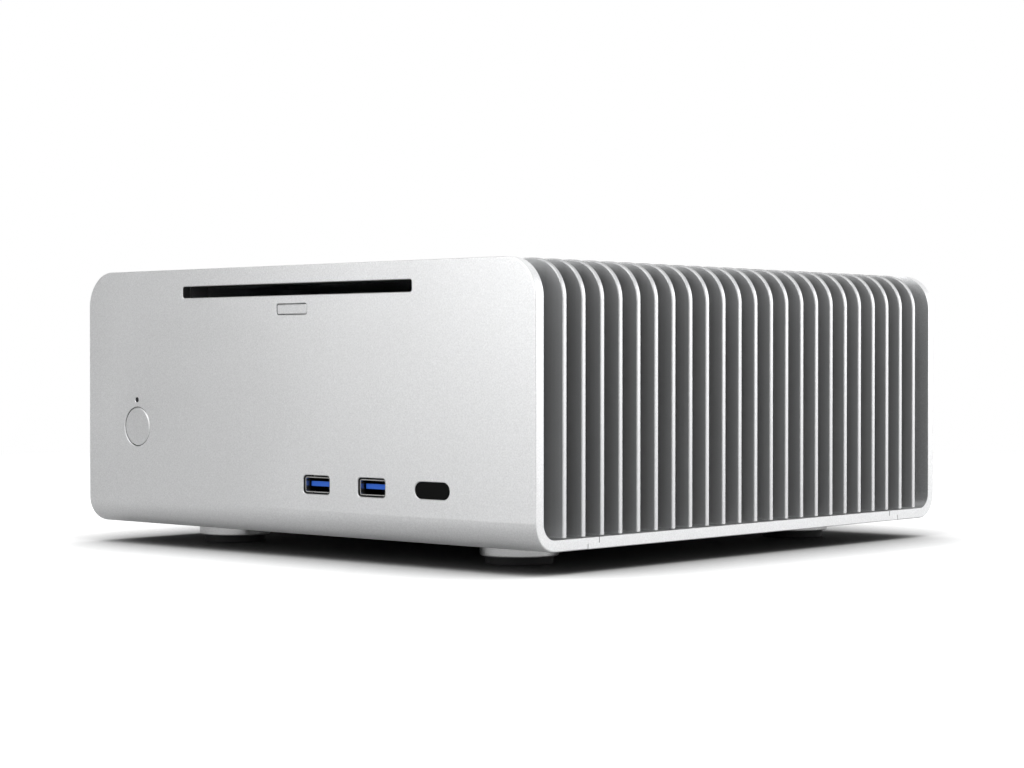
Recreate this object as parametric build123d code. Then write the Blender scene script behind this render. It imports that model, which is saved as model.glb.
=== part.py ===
from build123d import *
from math import hypot
import os

os.makedirs("parts", exist_ok=True)

# Fanless mini computer, millimetres.
# X runs right seen from the front, Y from front to back, Z up from the floor under the feet.

# Driving dimensions of the case
body_w = 240.0
body_d = 250.0
body_h = 100.0
foot_h = 8.0
panel_t = 4.0
corner_r = 14.0
bend_r = 10.0
edge_break = 0.4
opening_break = 0.25

# Lap joints between the bent panels and the base plate
flange_len = 33.0
lap_len = 6.0
joint_gap = 0.35
lap_screw_xs = (-45.0, 0.0, 45.0)

# Side heatsinks
fin_depth = 18.0
fin_t = 2.0
fin_pitch = 10.0
fin_end_gap = 10.0
fin_lift = 0.6
wall_t = 6.0
wall_screw_ys = (-90.0, 0.0, 90.0)
wall_screw_len = 12.0

# Lift-off cover with its vent slots
cover_t = 4.0
cover_gap = 0.2
vent_len = 46.0
vent_w = 2.6
vent_pitch_x = 56.0
vent_pitch_y = 5.2
vent_columns = 3
vent_margin = 18.0
stud_r = 1.7
stud_drop = 6.0
stud_seat = 1.5
clip_r = 3.2
clip_h = 5.0
clip_rim_r = 5.0
clip_rim_h = 1.2
clip_clear = 0.8

# Corner brackets and the machine screws that hold them
bracket_leg = 16.0
bracket_t = 3.0
bracket_h = 20.0
clip_inset = 8.0
screw_inset = 11.0
screw_drop = 14.0
m3_r = 1.5
thread_gap = 0.05
case_screw_len = 5.5
short_screw_len = 3.4

# Feet
foot_inset_x = 43.0
foot_inset_y = 40.0
foot_r = 14.3
ring_h = 5.0
pad_r = 12.3
pad_seat = 1.5
pad_gap = 0.1
pad_hole_r = 4.6
foot_screw_r = 2.0

# Openings in the front panel; heights are above the underside of the body or below its top
slot_w = 124.0
slot_h = 4.45
slot_drop = 8.9
eject_w = 16.5
eject_h = 4.2
eject_drop = 16.25
power_x = -89.7
power_up = 38.8
power_r = 7.75
led_x = -90.0
led_up = 49.3
led_r = 1.0
port_up = 19.4
usb_xs = (13.3, 41.9)
usb_open_w = 14.1
usb_open_h = 6.9
usb_open_r = 1.5
ir_x = 71.9
ir_w = 16.8
ir_h = 6.0
lens_rim_t = 1.0
small_r = 1.0

# Push buttons and the switches behind them
button_gap = 0.25
button_chamfer = 0.45
button_travel = 0.8
lip = 1.1
lip_t = 1.2
slide_gap = 0.05
plunger_r = 2.0
plunger_len = 1.0
press_clear = 0.1
switch_w = 6.0
switch_body = 2.4
switch_stem = 1.0
switch_stem_r = 1.6
small_board_t = 1.6
part_gap = 0.5
power_board_x = (-9.3, 12.2)
power_board_z = (-8.8, 14.2)
power_post_zs = (-5.8, 11.2)
power_post_x = 9.9
post_r = 1.8
eject_board_w = 24.0
eject_board_z = (-5.3, 3.4)
pipe_recess = 0.15
guide_web_t = 0.85
guide_wall = 1.1

# Slot-loading disc drive
drive_w = 128.0
drive_d = 129.0
drive_h = 12.7
sheet_t = 0.8
lid_gap = 0.2
hub_from_front = 64.0
hub_r = 11.0
hub_nose_r = 7.4
hub_top_clear = 0.3
motor_r = 13.0
motor_flange = 2.0
shaft_r = 1.5
chassis_lift = 3.0
chassis_t = 1.2
chassis_w = 92.0
roller_r = 2.6
roller_len = 115.0
roller_shaft_r = 1.2
roller_from_front = 6.0
rail_r = 1.0
rail_x = 22.0
sled_w = 54.0
sled_len = 12.0
sled_h = 3.0
sled_window_w = 60.0

# Carrier plate and storage drive
carrier_t = 1.5
carrier_front = 10.0
carrier_rear = 3.0
carrier_gap = 0.1
tab_h = 13.0
tab_lens = (36.0, 24.0)
storage_w = 69.85
storage_d = 100.0
storage_h = 7.0
storage_from_front = 22.0

# Front port board
port_board_left = 11.0
port_board_right = 16.0
port_board_d = 26.0
port_post_r = 2.75
usb_shell_w = 13.1
usb_shell_h = 5.7
usb_shell_t = 0.35
usb_shell_len = 14.0
usb_recess = 0.8
tongue_w = 11.2
tongue_t = 1.8
tongue_lift = 0.25
tongue_setback = 2.2

# Main board, mini-ITX outline and hole pattern
board_w = 170.0
board_d = 170.0
board_t = 1.6
standoff_h = 6.5
standoff_af = 5.5
hole_dx = 157.48
hole_dy = 154.94
hole_rear = 10.16
board_rear_gap = 1.0

# Processor and its cooling
cpu_x = 10.0
cpu_back = 100.0
socket_w = 42.5
socket_d = 40.0
socket_h = 4.0
package_w = 37.5
package_t = 1.1
lid_w = 30.0
lid_t = 2.9
block_w = 54.0
block_half = 6.0
block_screw_xy = 24.0
pipe_r = 3.0
pipe_spacing = 12.0
pipe_bend = 11.0
pipe_rises = (23.0, 35.0)
bar_t = 5.0
bar_len = 38.0
bar_margin = 7.0
bar_screw_y = 13.0

# Memory
memory_xs = (-66.0, -56.0)
memory_w = 6.4
memory_len = 140.0
memory_h = 8.5
memory_inset = 6.0
module_t = 1.3
module_len = 133.35
module_h = 30.0
module_lift = 3.0
chip_count = 8
chip_pitch = 15.5
chip_len = 11.0
chip_rows = (11.0, 24.0)
chip_t = 0.65
groove_gap = 0.1
cheek_t = 1.0
cheek_len = 6.2
cheek_h = 10.0
latch_w = 3.8
latch_d = 4.4
latch_h = 16.0
latch_pin_r = 1.0
latch_pivot_up = 4.4
latch_pivot_out = 4.0
latch_foot = 3.0

# Other pieces on the main board
chipset_x = 50.0
chipset_back = 145.0
chipset_w = 30.0
chipset_h = 9.0
chipset_fins = 7
capacitor_r = 3.2
capacitor_h = 7.5
capacitor_back = 62.0
capacitor_xs = (-34.0, -24.0, -14.0, -4.0, 6.0, 16.0, 26.0)

# Rear input and output
io_w = 158.75
io_h = 44.45
io_drop = 1.6
io_sheet = 0.6
io_rim = 1.6
io_gap = 0.1
port_clear = 0.3
ports_inset = 0.8
usb_stack_w = 14.5
usb_stack_h = 15.6
socket_depth = 12.0
usb_in_w = 12.5
usb_in_h = 5.1
usb_stack_xs = (-52.0, 6.0)
video_x = -28.0
video_w = 18.0
video_in_h = 4.8
video_sockets = ((4.1, 15.8), (11.3, 14.2))
video_tongue_t = 1.4
network_x = 32.0
network_w = 16.4
network_h = 29.5
network_in_w = 11.7
network_in_h = 8.0
audio_x = 60.0
audio_w = 13.5
audio_pitch = 12.0
audio_count = 3
audio_r = 1.8
audio_rim_depth = 1.0
dc_x = 88.0
dc_up = 22.0
dc_r = 5.5
dc_len = 18.0
dc_recess = 0.15
dc_pin_setback = 1.0
dc_bore_r = 3.2
dc_bore_len = 11.0
dc_pin_r = 1.25
dc_collar_r = 7.2
dc_collar_t = 2.0
rear_vent_up = 82.0
rear_vent_h = 14.0
rear_vent_w = 2.6
rear_vent_pitch = 7.0
rear_vent_span = 154.0

# Places worked out from the driving dimensions
x_out = body_w / 2
y_out = body_d / 2
y_in = y_out - panel_t
z_base = foot_h
z_floor = z_base + panel_t
z_top = z_base + body_h
half_t = panel_t / 2
x_wall_out = x_out - fin_depth
x_wall_in = x_wall_out - wall_t
z_wall_top = z_top - cover_t
fin_count = int((2 * (y_in - fin_end_gap) - fin_t) / fin_pitch) + 1
z_slot = z_top - slot_drop
z_eject = z_top - eject_drop
z_power = z_base + power_up
z_led = z_base + led_up
z_port = z_base + port_up
z_shelf = z_wall_top - clip_clear - clip_rim_h
clip_x = x_wall_in - clip_inset
clip_y = y_in - clip_inset
y_lip_back = -y_in + slide_gap + lip_t
y_switch = y_lip_back + plunger_len + button_travel + press_clear
y_small_board = y_switch + switch_stem + switch_body
y_small_back = y_small_board + small_board_t
y_drive = y_small_back + guide_web_t
y_drive_back = y_drive + drive_d
z_slot_low = z_slot - slot_h / 2
z_slot_high = z_slot + slot_h / 2
z_drive_top = z_slot_high + lid_gap + sheet_t
z_drive = z_drive_top - drive_h
z_chassis = z_drive + chassis_lift
y_hub = y_drive + hub_from_front
y_carrier = (y_drive + carrier_front, y_drive_back + carrier_rear)
z_carrier = z_drive - carrier_t
z_port_board = z_port - usb_shell_h / 2
y_board_rear = y_in - board_rear_gap
y_board_front = y_board_rear - board_d
z_board = z_floor + standoff_h
z_board_top = z_board + board_t
cpu_y = y_board_rear - cpu_back
z_lid = z_board_top + socket_h + lid_t
z_pipe = z_lid + block_half
x_pipe = x_wall_in - bar_t
y_memory = y_board_front + memory_inset
y_pivot = y_memory - latch_pivot_out
z_pivot = z_board_top + latch_pivot_up
z_io = z_board_top - io_drop
y_ports = y_out - ports_inset


# ---- Shapes used more than once ----

def block(x, y, z):
    # Box between the (low, high) pairs of each axis
    spans = (x, y, z)
    centre = [(low + high) / 2 for low, high in spans]
    size = [high - low for low, high in spans]
    return Pos(*centre) * Box(*size)


def about(centre, width):
    return (centre - width / 2, centre + width / 2)


def rod(axis, span, across, radius):
    # Round bar along an axis; across is its centre on the two other axes
    low, high = span
    first, second = across
    starts = {"X": (low, first, second), "Y": (first, low, second), "Z": (first, second, low)}
    directions = {"X": (1, 0, 0), "Y": (0, 1, 0), "Z": (0, 0, 1)}
    plane = Plane(origin=starts[axis], z_dir=directions[axis])
    return extrude(plane * Circle(radius), amount=high - low)


def group(shapes):
    # Separate solids kept in one node
    return Compound([solid for shape in shapes for solid in shape.solids()])


def mirror_y(shape):
    return mirror(shape, about=Plane.XZ)


def four_corners(x, y):
    return [(sx * x, sy * y) for sx in (-1, 1) for sy in (-1, 1)]


def front_prism(sketch, x, z, y_low, y_high):
    # Outline drawn as seen from the front, reaching from y_low back to y_high
    plane = Plane(origin=(x, y_low, z), x_dir=(1, 0, 0), z_dir=(0, -1, 0))
    return extrude(plane * sketch, amount=y_high - y_low, dir=(0, 1, 0))


def place(shape, origin, direction):
    return Plane(origin=origin, z_dir=direction).location * shape


def pan_screw(length, radius=m3_r):
    # Head below the origin, shank along +Z
    head_h = radius * 1.1
    head = extrude(Circle(radius * 1.85), amount=-head_h)
    head = fillet(head.edges().sort_by(Axis.Z)[0], head_h / 2)
    drive = Pos(0, 0, -head_h) * extrude(RegularPolygon(radius * 0.75, 6), amount=head_h / 2)
    return head + extrude(Circle(radius), amount=length) - drive


def flat_screw_body(length, radius=m3_r):
    # Countersunk head with its face on the origin, shank along +Z
    head_h = radius * 0.8
    cone = Pos(0, 0, head_h / 2) * Cone(radius * 1.8, radius, head_h)
    return cone + extrude(Circle(radius), amount=length)


def flat_screw(length, radius=m3_r):
    drive = extrude(RegularPolygon(radius * 0.75, 6), amount=radius * 0.4)
    return flat_screw_body(length, radius) - drive


# ---- Where the screws go: (origin, direction) ----

def bracket_screw_places():
    places = []
    z = z_shelf - screw_drop
    for sx in (-1, 1):
        for sy in (-1, 1):
            on_panel = (sx * (x_wall_in - screw_inset), sy * (y_in - bracket_t), z)
            on_wall = (sx * (x_wall_in - bracket_t), sy * (y_in - screw_inset), z)
            places.append((on_panel, (0, sy, 0)))
            places.append((on_wall, (sx, 0, 0)))
    return places


def carrier_screw_places():
    places = []
    z = z_carrier - tab_h / 2
    ys = (y_carrier[0] + tab_lens[0] / 2, y_carrier[1] - tab_lens[1] / 2)
    for sx in (-1, 1):
        for y in ys:
            places.append(((sx * (x_wall_in - carrier_gap - carrier_t), y, z), (sx, 0, 0)))
    return places


def board_hole_places():
    y_rear = y_board_rear - hole_rear
    return [(sx * hole_dx / 2, y) for sx in (-1, 1) for y in (y_rear, y_rear - hole_dy)]


def standoff_holes():
    return [rod("Z", (z_base, z_floor), spot, m3_r + thread_gap) for spot in board_hole_places()]


def port_post_places():
    between_usb = (usb_xs[0] + usb_xs[1]) / 2
    between_ir = (usb_xs[1] + ir_x) / 2
    y_front = -y_out + bend_r + port_post_r + part_gap
    y_back = -y_in + port_board_d - port_post_r - part_gap
    return [(between_usb, y_front), (between_ir, y_front),
            (usb_xs[0] - usb_shell_w / 2, y_back), (ir_x + ir_w / 2, y_back)]


def case_screw_places():
    upper = [((x, y, z_board_top), (0, 0, -1)) for x, y in board_hole_places()]
    ports = [((x, y, z_port_board), (0, 0, -1)) for x, y in port_post_places()]
    return bracket_screw_places() + carrier_screw_places() + upper + ports


def case_screw_holes():
    return [place(extrude(Circle(m3_r + thread_gap), amount=case_screw_len), origin, direction)
            for origin, direction in case_screw_places()]


def wall_screw_places():
    x = (x_wall_in + x_wall_out) / 2
    return [(sx * x, y) for sx in (-1, 1) for y in wall_screw_ys]


def lap_screw_places():
    y = y_out - flange_len + lap_len / 2
    return [(x, sy * y) for x in lap_screw_xs for sy in (-1, 1)]


def storage_screw_places():
    y_mid = y_drive + storage_from_front + storage_d / 2
    return [(x, y_mid + y) for x, y in four_corners(storage_w / 2 - 4, storage_d / 2 - 12)]


def flat_screws_of(make, gap):
    # The same list serves the screws and the holes that take them
    radius = m3_r + gap
    walls = [place(make(wall_screw_len, radius), (x, y, z_base), (0, 0, 1))
             for x, y in wall_screw_places()]
    laps = [place(make(short_screw_len, radius), (x, y, z_base), (0, 0, 1))
            for x, y in lap_screw_places()]
    storage = [place(make(short_screw_len, radius), (x, y, z_drive), (0, 0, -1))
               for x, y in storage_screw_places()]
    return walls + laps + storage


def bar_screw_places():
    places = []
    z = z_pipe + sum(pipe_rises) / 2
    for low, high in bar_spans():
        middle = (low + high) / 2
        for y in (middle - bar_screw_y, middle + bar_screw_y):
            places.append((x_wall_in - 2 * bar_t, y, z))
    return places


# ---- Case ----

def on_outer_skin(edge):
    # True for the rim edges of the bent panel's outer skin
    spot = edge.position_at(0.5)
    in_bend = (spot.Y + y_out - bend_r, spot.Z - z_base - bend_r)
    if in_bend[1] >= 0:
        off = spot.Y + y_out
    elif in_bend[0] >= 0:
        off = spot.Z - z_base
    else:
        off = hypot(*in_bend) - bend_r
    along_x = abs(edge.tangent_at(0.5).X) > 0.99
    return abs(off) < 0.01 and (not along_x or spot.Z > z_top - edge_break)


def bent_panel():
    # Upright plate that curves back into a flange under the case, drawn at the front
    y0 = -y_out
    r_in = bend_r - panel_t
    mid = bend_r - bend_r * 0.5 ** 0.5
    mid_in = bend_r - r_in * 0.5 ** 0.5
    lap = y0 + flange_len - lap_len
    end = y0 + flange_len
    outline = Polyline((-y_in, z_base + bend_r), (-y_in, z_top), (y0, z_top), (y0, z_base + bend_r))
    outline += ThreePointArc(
        (y0, z_base + bend_r), (y0 + mid, z_base + mid), (y0 + bend_r, z_base))
    outline += Polyline((y0 + bend_r, z_base), (lap, z_base), (lap, z_base + half_t),
                        (end, z_base + half_t), (end, z_floor), (y0 + bend_r, z_floor))
    outline += ThreePointArc(
        (y0 + bend_r, z_floor), (y0 + mid_in, z_base + mid_in), (-y_in, z_base + bend_r))
    panel = extrude(Plane.YZ * make_face(outline), amount=x_out, both=True)
    top_corners = panel.edges().filter_by(Axis.Y).group_by(Axis.Z)[-1]
    panel = fillet(top_corners, corner_r)
    return fillet(panel.edges().filter_by(on_outer_skin), edge_break)


def cut_openings(panel, openings):
    # openings holds (outline, x, z); their outer rims get a small chamfer
    for outline, x, z in openings:
        panel -= front_prism(outline, x, z, -y_out - 1, -y_in + 1)
    face = panel.faces().sort_by(Axis.Y)[0]
    rims = [edge for wire in face.inner_wires() for edge in wire.edges()]
    return chamfer(rims, opening_break)


def front_panel():
    openings = [
        (RectangleRounded(slot_w, slot_h, small_r), 0, z_slot),
        (RectangleRounded(eject_w, eject_h, small_r), 0, z_eject),
        (Circle(power_r), power_x, z_power),
        (Circle(led_r), led_x, z_led),
        (SlotOverall(ir_w, ir_h), ir_x, z_port),
    ]
    for x in usb_xs:
        openings.append((RectangleRounded(usb_open_w, usb_open_h, usb_open_r), x, z_port))
    return cut_openings(bent_panel(), openings) - case_screw_holes() - flat_screws_of(
        flat_screw_body, thread_gap)


def rear_panel():
    # Built facing forward like the front panel, then turned to face back
    count = int(rear_vent_span / rear_vent_pitch) + 1
    openings = [
        (Rectangle(io_w, io_h), 0, z_io + io_h / 2),
        (Circle(dc_r + thread_gap), dc_x, z_base + dc_up),
    ]
    vent = Rot(0, 0, 90) * SlotOverall(rear_vent_h, rear_vent_w)
    for i in range(count):
        x = (i - (count - 1) / 2) * rear_vent_pitch
        openings.append((vent, x, z_base + rear_vent_up))
    panel = mirror_y(cut_openings(bent_panel(), openings))
    panel -= flat_screws_of(flat_screw_body, thread_gap)
    return panel - case_screw_holes() - standoff_holes()


def vent_field(x_count, y_count, y_mid):
    slots = GridLocations(vent_pitch_x, vent_pitch_y, x_count, y_count)
    return Pos(0, y_mid, 0) * (Sketch() + [spot * SlotOverall(vent_len, vent_w) for spot in slots])


def base_plate():
    # Lower half reaches under both flanges, upper half butts against them
    lower = y_out - flange_len + lap_len - joint_gap
    upper = y_out - flange_len - joint_gap
    plate = block((-x_out, x_out), (-lower, lower), (z_base, z_base + half_t))
    plate += block((-x_out, x_out), (-upper, upper), (z_base + half_t, z_floor))
    rows = int((y_out - foot_inset_y) / vent_pitch_y)
    vents = Plane.XY.offset(z_base) * vent_field(2, rows, 0)
    plate -= extrude(vents, amount=panel_t)
    plate -= flat_screws_of(flat_screw_body, thread_gap)
    for x, y in foot_places():
        plate -= rod("Z", (z_base, z_floor), (x, y), foot_screw_r + thread_gap)
    plate -= standoff_holes()
    long_edges = plate.edges().filter_by(Axis.Y).group_by(Axis.Z)[0].sort_by(Axis.X)
    return chamfer([long_edges[0], long_edges[-1]], opening_break)


def fin():
    # One vertical fin of the right-hand heatsink, centred on Y = 0
    low = z_floor + fin_lift
    bulge = corner_r * (1 - 0.5 ** 0.5)
    outline = Polyline((x_wall_out, z_top), (x_wall_out, low), (x_out, low),
                       (x_out, z_top - corner_r))
    outline += ThreePointArc((x_out, z_top - corner_r), (x_out - bulge, z_top - bulge),
                             (x_out - corner_r, z_top))
    outline += Line((x_out - corner_r, z_top), (x_wall_out, z_top))
    plate = extrude(Plane.XZ * make_face(outline), amount=fin_t / 2, both=True)
    tips = plate.edges().filter_by(
        lambda e: abs(e.tangent_at(0.5).Y) < 0.1 and e.center().X > x_wall_out + 1
        and e.center().Z > low + 1)
    return fillet(tips, edge_break)


def heatsink():
    # Right-hand heatsink: an upright wall with evenly spaced fins
    wall = block((x_wall_in, x_wall_out), (-y_in, y_in), (z_floor, z_wall_top))
    feet = wall.edges().filter_by(Axis.X).group_by(Axis.Z)[0]
    wall = fillet(feet, bend_r - panel_t + part_gap)
    one = fin()
    fins = [Pos(0, (i - (fin_count - 1) / 2) * fin_pitch, 0) * one for i in range(fin_count)]
    return wall + fins


def power_pocket():
    # Room in the left heatsink's end for the power button, its switch and its board
    x = [power_x + side for side in power_board_x]
    z = [z_power + side for side in power_board_z]
    return block((x[0] - part_gap, x[1] + part_gap), (-y_in - 1, y_small_back + part_gap),
                 (z[0] - part_gap, z[1] + part_gap))


def heatsink_holes():
    bars = [place(extrude(Circle(m3_r + thread_gap), amount=2 * bar_t + 4), spot, (1, 0, 0))
            for spot in bar_screw_places()]
    return case_screw_holes() + flat_screws_of(flat_screw_body, thread_gap) + bars


def heatsink_right():
    return heatsink() - heatsink_holes()


def heatsink_left():
    return mirror(heatsink(), about=Plane.YZ) - power_pocket() - heatsink_holes()


def top_cover():
    x = x_wall_out - cover_gap
    y = y_in - cover_gap
    plate = block((-x, x), (-y, y), (z_wall_top, z_top))
    plate = chamfer(plate.faces().sort_by(Axis.Z)[-1].edges(), edge_break)
    y_low = y_drive_back + vent_margin
    y_high = y_in - vent_margin
    rows = int((y_high - y_low) / vent_pitch_y) + 1
    field = vent_field(vent_columns, rows, (y_low + y_high) / 2)
    plate -= extrude(Plane.XY.offset(z_wall_top) * field, amount=cover_t)
    for x, y in four_corners(clip_x, clip_y):
        plate -= rod("Z", (z_wall_top, z_wall_top + stud_seat), (x, y), stud_r)
    return plate


def cover_studs():
    studs = []
    for x, y in four_corners(clip_x, clip_y):
        stud = rod("Z", (z_wall_top - stud_drop, z_wall_top + stud_seat), (x, y), stud_r)
        studs.append(chamfer(stud.edges().sort_by(Axis.Z)[0], edge_break))
    return group(studs)


def cover_clips():
    clips = []
    for x, y in four_corners(clip_x, clip_y):
        clip = rod("Z", (z_shelf - clip_h, z_shelf), (x, y), clip_r)
        clip += rod("Z", (z_shelf, z_shelf + clip_rim_h), (x, y), clip_rim_r)
        clips.append(clip - rod("Z", (z_shelf - clip_h, z_wall_top), (x, y), stud_r + slide_gap))
    return group(clips)


def corner_brackets():
    leg = x_wall_in - bracket_leg
    z = (z_shelf - bracket_h, z_shelf)
    y_leg = y_in - bracket_leg
    bracket = block((leg, x_wall_in), (y_in - bracket_t, y_in), z)
    bracket += block((x_wall_in - bracket_t, x_wall_in), (y_leg, y_in), z)
    bracket += block((leg, x_wall_in), (y_leg, y_in), (z_shelf - bracket_t, z_shelf))
    bracket -= rod("Z", z, (clip_x, clip_y), clip_r)
    rear = [bracket, mirror(bracket, about=Plane.YZ)]
    holes = case_screw_holes()
    return group([one - holes for one in rear + [mirror_y(piece) for piece in rear]])


def pan_screws():
    one = pan_screw(case_screw_len)
    return group([place(one, origin, direction) for origin, direction in case_screw_places()])


def flat_screws():
    return group(flat_screws_of(flat_screw, 0))


# ---- Feet ----

def foot_places():
    return four_corners(x_out - foot_inset_x, y_out - foot_inset_y)


def foot_ring(x, y):
    ring = rod("Z", (foot_h - ring_h, foot_h), (x, y), foot_r)
    ring = chamfer(ring.edges().sort_by(Axis.Z)[0], edge_break)
    seat = foot_h - ring_h + pad_seat
    ring -= rod("Z", (0, seat), (x, y), pad_r + pad_gap)
    ring -= rod("Z", (0, foot_h), (x, y), foot_screw_r + thread_gap)
    return ring


def foot_pad(x, y):
    seat = foot_h - ring_h + pad_seat
    pad = rod("Z", (0, seat), (x, y), pad_r)
    pad = chamfer(pad.edges().sort_by(Axis.Z)[0], edge_break)
    return pad - rod("Z", (0, seat), (x, y), pad_hole_r)


def foot_screw(x, y):
    # The head sits in the pad's hole and pulls the ring up against the base plate
    seat = foot_h - ring_h + pad_seat
    return place(pan_screw(z_floor - seat, foot_screw_r), (x, y, seat), (0, 0, 1))


# ---- Buttons ----

def power_button():
    cap = rod("Y", (-y_out, y_lip_back), (power_x, z_power), power_r - button_gap)
    cap = chamfer(cap.edges().sort_by(Axis.Y)[0], button_chamfer)
    cap += rod("Y", (y_lip_back - lip_t, y_lip_back), (power_x, z_power), power_r + lip)
    return cap + rod("Y", (y_lip_back, y_lip_back + plunger_len), (power_x, z_power), plunger_r)


def eject_button():
    outline = RectangleRounded(eject_w - 2 * button_gap, eject_h - 2 * button_gap,
                               small_r - button_gap)
    cap = front_prism(outline, 0, z_eject, -y_out, y_lip_back)
    cap = chamfer(cap.faces().sort_by(Axis.Y)[0].edges(), button_chamfer)
    rim = RectangleRounded(eject_w + 2 * lip, eject_h + 2 * lip, small_r)
    cap += front_prism(rim, 0, z_eject, y_lip_back - lip_t, y_lip_back)
    return cap + rod("Y", (y_lip_back, y_lip_back + plunger_len), (0, z_eject), plunger_r)


def push_switch(x, z):
    body = block(about(x, switch_w), (y_switch + switch_stem, y_small_board), about(z, switch_w))
    return body + rod("Y", (y_switch, y_switch + switch_stem), (x, z), switch_stem_r)


def power_board():
    x = [power_x + side for side in power_board_x]
    z = [z_power + side for side in power_board_z]
    return block(x, (y_small_board, y_small_back), z)


def eject_board():
    z = [z_eject + side for side in eject_board_z]
    return block(about(0, eject_board_w), (y_small_board, y_small_back), z)


def power_light_pipe():
    # Clear rod from the panel's face to the lamp on the power board
    return rod("Y", (-y_out + pipe_recess, y_small_board), (led_x, z_led), led_r - slide_gap)


def board_posts():
    posts = []
    for z in power_post_zs:
        across = (power_x + power_post_x, z_power + z)
        posts.append(rod("Y", (-y_in, y_small_board), across, post_r))
    for x, y in port_post_places():
        post = rod("Z", (z_floor, z_port_board - board_t), (x, y), port_post_r)
        posts.append(post - case_screw_holes())
    return group(posts)


# ---- Disc drive ----

def disc_guide():
    # Plastic throat from the panel's slot to the drive, with a web that backs the eject board
    z = (z_slot_low - guide_wall, z_slot_high + guide_wall)
    guide = block(about(0, slot_w + 2 * guide_wall), (-y_in, y_drive), z)
    guide -= block(about(0, slot_w), (-y_in - 1, y_drive + 1), (z_slot_low, z_slot_high))
    return guide + block(about(0, eject_board_w), (y_small_back, y_drive),
                         (z_eject + eject_board_z[0], z[0]))


def roller_axis():
    return (y_drive + roller_from_front, z_slot_low - part_gap - roller_r)


def drive_case():
    # Open tray with the disc's way in above its front wall
    z_rim = z_drive_top - sheet_t
    half = drive_w / 2
    tray = block((-half, half), (y_drive, y_drive_back), (z_drive, z_rim))
    tray -= block((-half + sheet_t, half - sheet_t),
                  (y_drive + sheet_t, y_drive_back - sheet_t), (z_drive + sheet_t, z_rim))
    tray -= block(about(0, slot_w), (y_drive - 1, y_drive + sheet_t), (z_slot_low, z_rim))
    y, z = roller_axis()
    for side in (-1, 1):
        x = side * (roller_len / 2 + 2 * part_gap + sheet_t)
        lug = block(about(x, 2 * sheet_t), about(y, 4 * roller_shaft_r),
                    (z_drive + sheet_t, z + 2 * roller_shaft_r))
        tray += lug - rod("X", (x - sheet_t, x + sheet_t), (y, z), roller_shaft_r + slide_gap)
    return tray


def drive_lid():
    half = drive_w / 2
    lid = block((-half, half), (y_drive, y_drive_back), (z_drive_top - sheet_t, z_drive_top))
    groove = Pos(0, y_hub, z_drive_top) * (Cylinder(hub_from_front * 0.7, sheet_t)
                                           - Cylinder(hub_from_front * 0.65, sheet_t))
    return lid - groove


def drive_roller():
    y, z = roller_axis()
    end = roller_len / 2 + 2 * part_gap + 2 * sheet_t
    return (rod("X", (-roller_len / 2, roller_len / 2), (y, z), roller_r)
            + rod("X", (-end, end), (y, z), roller_shaft_r))


def sled_window():
    return (y_hub + motor_r + 2 * motor_flange, y_drive_back - 4 * part_gap - 2 * sheet_t)


def drive_chassis():
    z = (z_chassis, z_chassis + chassis_t)
    y_low = y_hub - motor_r - 5 * motor_flange
    y_high = y_drive_back - sheet_t - part_gap
    plate = block(about(0, chassis_w), (y_low, y_high), z)
    plate -= rod("Z", z, (0, y_hub), motor_r + slide_gap)
    plate -= block(about(0, sled_window_w), sled_window(), z)
    inset = 2 * motor_flange
    for x in (-chassis_w / 2 + inset, chassis_w / 2 - inset):
        for y in (y_low + inset, y_high - inset):
            plate += rod("Z", (z_drive + sheet_t, z_chassis), (x, y), inset / 2)
    return plate


def drive_motor():
    z_seat = z_chassis + chassis_t
    motor = rod("Z", (z_drive + sheet_t, z_seat), (0, y_hub), motor_r)
    motor += rod("Z", (z_seat, z_seat + sheet_t), (0, y_hub), motor_r + motor_flange)
    bore = rod("Z", (z_chassis - 1, z_seat + sheet_t), (0, y_hub), shaft_r + slide_gap)
    return motor - bore


def drive_hub():
    z_low = z_chassis + chassis_t + sheet_t + hub_top_clear
    z_high = z_slot_low - hub_top_clear
    hub = rod("Z", (z_low, (z_low + z_high) / 2), (0, y_hub), hub_r)
    nose = rod("Z", (z_low, z_high), (0, y_hub), hub_nose_r)
    hub += chamfer(nose.edges().sort_by(Axis.Z)[-1], edge_break)
    return hub + rod("Z", (z_chassis - 1 + slide_gap, z_low), (0, y_hub), shaft_r)


def drive_rails():
    y = [sled_window()[0] - part_gap * 4, sled_window()[1] + part_gap * 2]
    return group([rod("Y", y, (x, z_chassis - rail_r), rail_r) for x in (-rail_x, rail_x)])


def drive_sled():
    # Laser carriage that rides on the rails, at the hub end of its travel
    y_low = sled_window()[0] + part_gap
    z_low = z_chassis - rail_r
    sled = block(about(0, sled_w), (y_low, y_low + sled_len), (z_low, z_low + sled_h))
    for x in (-rail_x, rail_x):
        sled -= rod("Y", (y_low, y_low + sled_len), (x, z_low), rail_r + slide_gap)
    lens = rod("Z", (z_low + sled_h, z_low + sled_h + sheet_t), (0, y_low + sled_len / 2), 3.5)
    return sled + lens


def drive_carrier():
    # Plate across the case under the drive, with tabs bent down against the heatsinks
    x = x_wall_in - carrier_gap
    y_low, y_high = y_carrier
    plate = block((-x, x), (y_low, y_high), (z_carrier, z_drive))
    tabs = ((y_low, y_low + tab_lens[0]), (y_high - tab_lens[1], y_high))
    for y in tabs:
        for side in (-1, 1):
            x_tab = sorted((side * x, side * (x - carrier_t)))
            plate += block(x_tab, y, (z_carrier - tab_h, z_drive))
    return plate - case_screw_holes() - flat_screws_of(flat_screw_body, thread_gap)


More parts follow.
